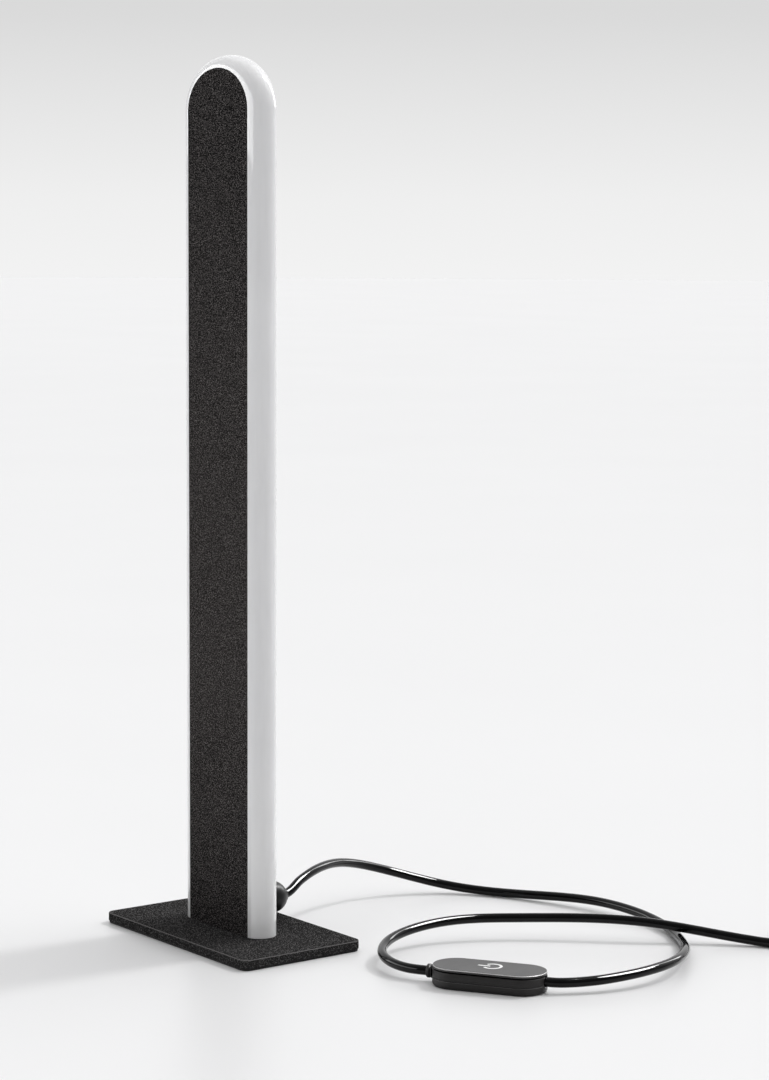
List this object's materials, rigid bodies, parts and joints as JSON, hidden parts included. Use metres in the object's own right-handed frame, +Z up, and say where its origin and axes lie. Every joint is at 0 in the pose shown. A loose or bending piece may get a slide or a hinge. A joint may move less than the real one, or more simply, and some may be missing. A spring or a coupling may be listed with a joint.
{
  "type": "table lamp",
  "caption": "Slim upright LED table lamp: flat weighted base, arched bar with a half-round light diffuser round its edge, and a mains cord with an in-line push switch.",
  "frame": {"origin": "centre of the base's underside, on the surface that the lamp stands on", "axes": "+Z up along the bar, +X along the base's long side, -Y towards the front of the black panel; the cable gland is on the +Y side"},
  "size_m": [0.4004, 0.3576, 0.5007],
  "materials": {
    "pad": "matt foam rubber",
    "black_coat": "fine textured black powder coat",
    "diffuser": "opal acrylic, satin gloss",
    "aluminium": "plain mill finish",
    "steel": "zinc plated",
    "black_screw": "black oxide",
    "led": "white solder mask with phosphor chips",
    "driver_shell": "moulded, satin",
    "board": "circuit board",
    "wire_brown": "insulated wire",
    "wire_blue": "insulated wire",
    "wire_red": "insulated wire",
    "wire_black": "insulated wire",
    "gland_plastic": "moulded nylon, satin",
    "soft_rubber": "soft moulded rubber",
    "cord": "black flexible vinyl, glossy",
    "switch_plastic": "fine moulded texture, satin",
    "plug_plastic": "moulded, satin",
    "tie": "woven hook-and-loop strap",
    "pin_metal": "nickel plated"
  },
  "bodies": {
    "lamp": {"base_pad": "pad", "base_plate": "black_coat", "foot_block_left": "aluminium", "foot_block_right": "aluminium", "base_screw_left": "steel", "base_screw_right": "steel", "front_panel": "black_coat", "rear_panel": "black_coat", "diffuser": "diffuser", "core_frame": "aluminium", "led_strip": "led", "standoff_lower": "aluminium", "standoff_middle": "aluminium", "standoff_upper": "aluminium", "rear_screw_lower": "black_screw", "rear_screw_middle": "black_screw", "rear_screw_upper": "black_screw", "driver_case": "driver_shell", "driver_lid": "driver_shell", "driver_board": "board", "terminal_block": "driver_shell", "mains_lead_live": "wire_brown", "mains_lead_neutral": "wire_blue", "led_lead_pos": "wire_red", "led_lead_neg": "wire_black", "gland_body": "gland_plastic", "gland_locknut": "gland_plastic", "gland_insert": "soft_rubber", "gland_nut": "gland_plastic", "cord_tail": "cord", "switch_base": "switch_plastic", "switch_cover": "switch_plastic", "switch_tact": "steel", "switch_pcb": "board", "switch_collar": "switch_plastic", "switch_screw_1": "steel", "switch_screw_2": "steel", "switch_cord_end_1": "cord", "switch_cord_end_2": "cord", "cord_lamp_to_switch": "cord", "cord_switch_to_coil": "cord", "cord_coil_to_plug": "cord", "cord_coil": "cord", "coil_tie": "tie", "plug_body": "plug_plastic", "plug_sleeve": "plug_plastic", "plug_cord_end": "cord", "plug_pin_1": "pin_metal", "plug_pin_2": "pin_metal"},
    "switch_button": {"switch_button": "switch_plastic", "tact_plunger": "wire_black"}
  },
  "joints": [
    {"name": "button_press", "type": "slide", "parent": "lamp", "child": "switch_button", "axis": [0, 0, -1], "range_m": [0, 0.0006], "stiffness_N_per_m": 2500}
  ]
}
